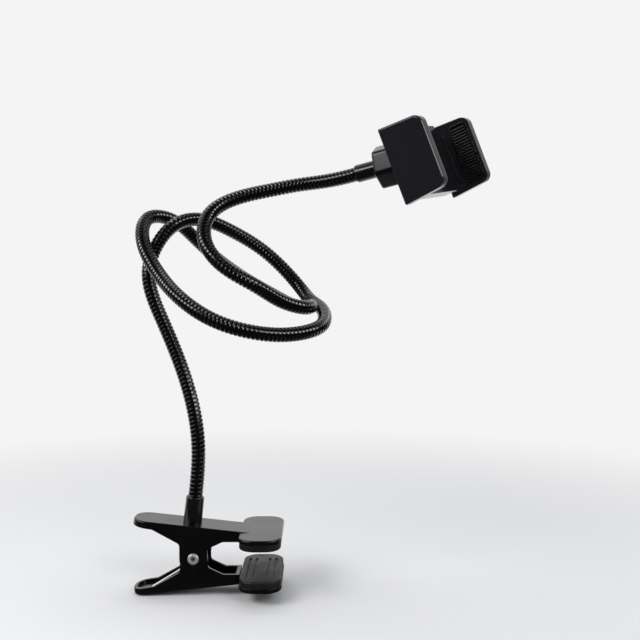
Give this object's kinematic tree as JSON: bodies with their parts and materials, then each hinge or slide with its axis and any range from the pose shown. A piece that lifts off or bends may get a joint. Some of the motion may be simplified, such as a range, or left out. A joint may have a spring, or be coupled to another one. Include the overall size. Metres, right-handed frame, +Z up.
{
  "type": "phone gooseneck holder",
  "caption": "Sprung desk clamp with a long ribbed gooseneck, bent in a double loop, that carries a spring-loaded phone cradle on a locking ball joint.",
  "frame": {"origin": "middle of the upper jaw pad's face, where it rests on the desk top", "axes": "+X along the clamp from its handles towards the desk, +Y away from the viewer, +Z up, out of the desk top"},
  "size_m": [0.2518, 0.1464, 0.3305],
  "materials": {
    "clamp_plastic": "satin black moulded plastic",
    "jaw_rubber": "matt black rubber",
    "rivet_nickel": "bright nickel plate",
    "spring_steel": "drawn spring wire",
    "ferrule_black": "gloss black",
    "zinc_hardware": "zinc plate",
    "neck_cover": "gloss black ribbed sleeve",
    "joint_plastic": "smooth black plastic",
    "nut_plastic": "gloss black",
    "cradle_plastic": "satin blue-black plastic",
    "grip_rubber": "matt black rubber"
  },
  "bodies": {
    "arm": {"upper_lever": "clamp_plastic", "upper_jaw_pad": "jaw_rubber", "pivot_rivet": "rivet_nickel", "clamp_spring": "spring_steel", "base_ferrule": "ferrule_black", "base_nut": "zinc_hardware", "gooseneck": "neck_cover", "head_ferrule": "ferrule_black", "socket_collet": "joint_plastic"},
    "lower_jaw": {"lower_lever": "clamp_plastic", "lower_jaw_pad": "jaw_rubber"},
    "nut": {"lock_nut": "nut_plastic"},
    "ball": {"ball_stud": "joint_plastic", "stud_washer": "zinc_hardware", "stud_screw": "zinc_hardware"},
    "cradle": {"cradle_housing": "cradle_plastic", "back_cover": "cradle_plastic", "cover_screws": "zinc_hardware", "fixed_jaw_pad": "grip_rubber", "jaw_springs": "spring_steel"},
    "far_jaw": {"sliding_jaw": "cradle_plastic", "sliding_jaw_pad": "grip_rubber"}
  },
  "joints": [
    {"name": "jaw_open", "type": "hinge", "parent": "arm", "child": "lower_jaw", "pos_m": [-0.046, 0, -0.01], "axis": [0, 1, 0], "range_deg": [-17, 35], "stiffness_Nm_per_rad": 1.5, "deforming": ["clamp_spring"]},
    {"name": "head_swivel", "type": "hinge", "parent": "arm", "child": "nut", "pos_m": [0.09223, 0.00179, 0.25927], "axis": [0.9053, -0.3694, 0.2096], "continuous": true},
    {"name": "head_tilt", "type": "hinge", "parent": "nut", "child": "ball", "pos_m": [0.09223, 0.00179, 0.25927], "axis": [-0.0628, -0.6045, -0.7941], "range_deg": [-37, 12]},
    {"name": "cradle_spin", "type": "hinge", "parent": "ball", "child": "cradle", "pos_m": [0.09223, 0.00179, 0.25927], "axis": [0.792, -0.5143, 0.3289], "continuous": true},
    {"name": "jaw_slide", "type": "slide", "parent": "cradle", "child": "far_jaw", "axis": [0.501, 0.8554, 0.1314], "range_m": [-0.015, 0.017], "stiffness_N_per_m": 250, "deforming": ["jaw_springs"]}
  ]
}
